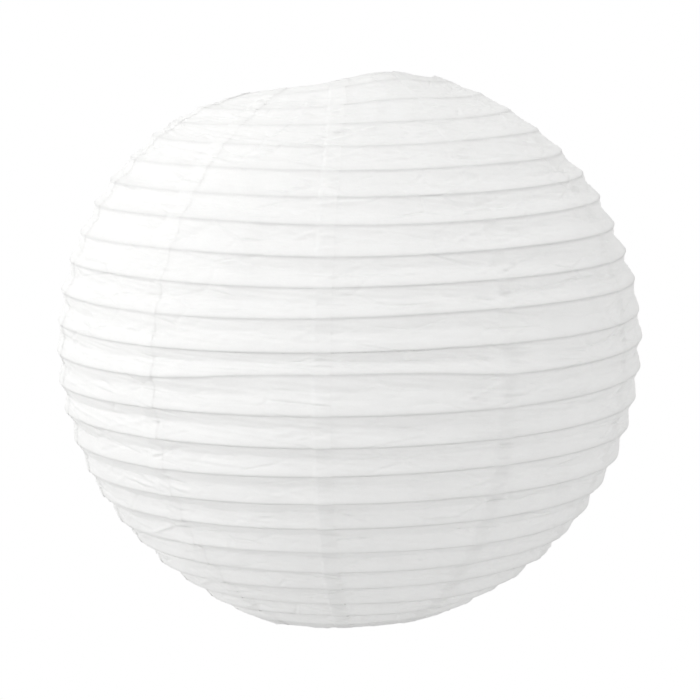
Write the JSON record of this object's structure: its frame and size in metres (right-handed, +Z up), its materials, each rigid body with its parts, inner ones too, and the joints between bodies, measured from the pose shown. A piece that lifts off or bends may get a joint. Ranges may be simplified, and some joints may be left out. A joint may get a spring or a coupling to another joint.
{
  "type": "paper lantern",
  "caption": "Round white paper lantern: translucent paper gores over a helical wire rib, end hoops and an inner wire expander with a hanging eye.",
  "frame": {"origin": "middle of the shade's box, on the lantern's axis, close to its widest place", "axes": "+Z up along the lantern's axis, -Y towards the viewer, +X to the viewer's right"},
  "size_m": [0.4006, 0.4006, 0.3596],
  "materials": {
    "paper": "thin crinkled white tissue paper, translucent",
    "rib_steel": "thin drawn steel wire",
    "hoop_steel": "drawn steel wire",
    "sleeve_steel": "crimped zinc-plated tube",
    "frame_steel": "bright zinc-plated spring wire"
  },
  "bodies": {
    "shade_and_expander": {"paper_gore_01": "paper", "paper_gore_02": "paper", "paper_gore_03": "paper", "paper_gore_04": "paper", "paper_gore_05": "paper", "paper_gore_06": "paper", "paper_gore_07": "paper", "paper_gore_08": "paper", "paper_gore_09": "paper", "paper_gore_10": "paper", "rib_wire": "rib_steel", "top_hoop": "hoop_steel", "top_hoop_sleeve": "sleeve_steel", "expander_frame": "frame_steel"},
    "lower_hoop": {"bottom_hoop": "hoop_steel", "bottom_hoop_sleeve": "sleeve_steel"}
  },
  "joints": [
    {"name": "shade_collapse", "type": "slide", "parent": "shade_and_expander", "child": "lower_hoop", "axis": [0, 0, 1], "range_m": [0, 0.323], "deforming": ["paper_gore_01", "paper_gore_02", "paper_gore_03", "paper_gore_04", "paper_gore_05", "paper_gore_06", "paper_gore_07", "paper_gore_08", "paper_gore_09", "paper_gore_10", "rib_wire"]}
  ]
}
